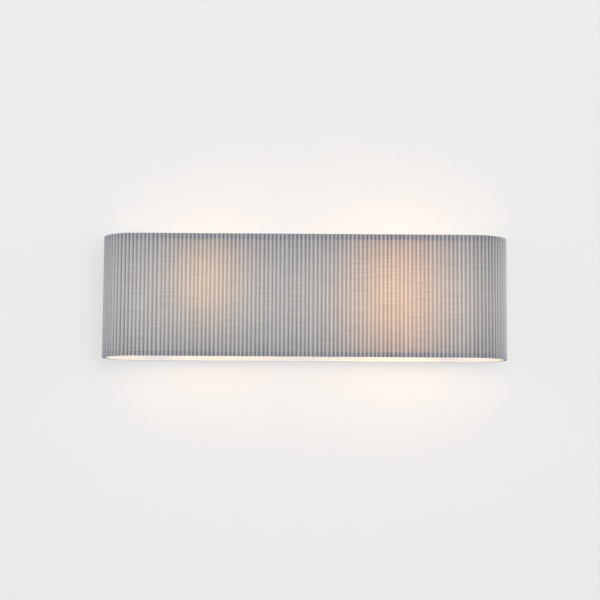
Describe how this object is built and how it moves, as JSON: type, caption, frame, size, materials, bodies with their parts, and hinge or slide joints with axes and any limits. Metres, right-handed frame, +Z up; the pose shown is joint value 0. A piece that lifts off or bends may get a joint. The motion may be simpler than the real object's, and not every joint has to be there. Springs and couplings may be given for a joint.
{
  "type": "fabric shade wall light",
  "caption": "Long wall light with a pleated fabric shade, rounded at its ends and open at top and bottom, on a steel back pan with globe lamps inside.",
  "frame": {"origin": "on the wall, at the middle of the wall bracket's back face", "axes": "+X along the light, +Y into the wall, +Z up"},
  "size_m": [0.5, 0.091, 0.15],
  "materials": {
    "shade_cloth": "pleated linen-look cloth",
    "lining": "matt white laminate",
    "hem_tape": "white tape",
    "white_steel": "white powder coat",
    "zinc_steel": "zinc plated",
    "nickel": "nickel plated",
    "brass": "plain brass",
    "holder_plastic": "white moulded",
    "block_plastic": "natural polyamide",
    "bush_rubber": "black",
    "bush_plastic": "black moulded",
    "lead_insulation": "white silicone",
    "earth_insulation": "green silicone",
    "lamp_glass": "frosted, lit",
    "cap_insulator": "black glass"
  },
  "bodies": {
    "wall_fixture": {"wall_bracket": "zinc_steel", "bracket_studs": "zinc_steel", "cable_bush": "bush_rubber", "back_pan": "white_steel", "cap_nuts": "white_steel", "lead_bush": "bush_plastic", "clinch_nuts": "zinc_steel", "terminal_block": "block_plastic", "terminal_inserts": "brass", "terminal_screws": "zinc_steel", "earth_stud": "zinc_steel", "earth_tag": "zinc_steel", "earth_nut": "zinc_steel", "earth_lead": "earth_insulation", "supply_leads": "lead_insulation", "link_leads": "lead_insulation", "bracket_rivets": "white_steel", "lamp_bracket_left": "white_steel", "nipple_left": "zinc_steel", "nipple_nut_left": "zinc_steel", "lampholder_base_left": "holder_plastic", "lampholder_skirt_left": "holder_plastic", "screw_shell_left": "nickel", "contacts_left": "brass", "lamp_bracket_right": "white_steel", "nipple_right": "zinc_steel", "nipple_nut_right": "zinc_steel", "lampholder_base_right": "holder_plastic", "lampholder_skirt_right": "holder_plastic", "screw_shell_right": "nickel", "contacts_right": "brass"},
    "shade": {"pleated_fabric": "shade_cloth", "shade_liner": "lining", "top_ring": "white_steel", "bottom_ring": "white_steel", "hem_tape_top": "hem_tape", "hem_tape_bottom": "hem_tape", "liner_seam_tape": "hem_tape", "window_frame": "white_steel", "upright_left": "white_steel", "upright_right": "white_steel", "carrier_bar": "white_steel", "lower_bar": "white_steel"},
    "bulb_left": {"bulb_glass_left": "lamp_glass", "bulb_cap_left": "nickel", "bulb_insulator_left": "cap_insulator", "bulb_tip_left": "brass"},
    "bulb_right": {"bulb_glass_right": "lamp_glass", "bulb_cap_right": "nickel", "bulb_insulator_right": "cap_insulator", "bulb_tip_right": "brass"},
    "thumb_screw_left": {"thumb_screw_left": "nickel"},
    "thumb_screw_right": {"thumb_screw_right": "nickel"}
  },
  "joints": [
    {"name": "shade_pull", "type": "slide", "parent": "wall_fixture", "child": "shade", "axis": [0, -1, 0], "range_m": [0, 0.085]},
    {"name": "bulb_left_turn", "type": "hinge", "parent": "wall_fixture", "child": "bulb_left", "pos_m": [-0.115, -0.05835, 0], "axis": [-1, 0, 0], "continuous": true},
    {"name": "bulb_right_turn", "type": "hinge", "parent": "wall_fixture", "child": "bulb_right", "pos_m": [0.115, -0.05835, 0], "axis": [1, 0, 0], "continuous": true},
    {"name": "thumb_screw_left_turn", "type": "hinge", "parent": "wall_fixture", "child": "thumb_screw_left", "pos_m": [-0.075, -0.025, 0.045], "axis": [0, 0, 1], "continuous": true},
    {"name": "thumb_screw_right_turn", "type": "hinge", "parent": "wall_fixture", "child": "thumb_screw_right", "pos_m": [0.075, -0.025, 0.045], "axis": [0, 0, 1], "continuous": true}
  ]
}
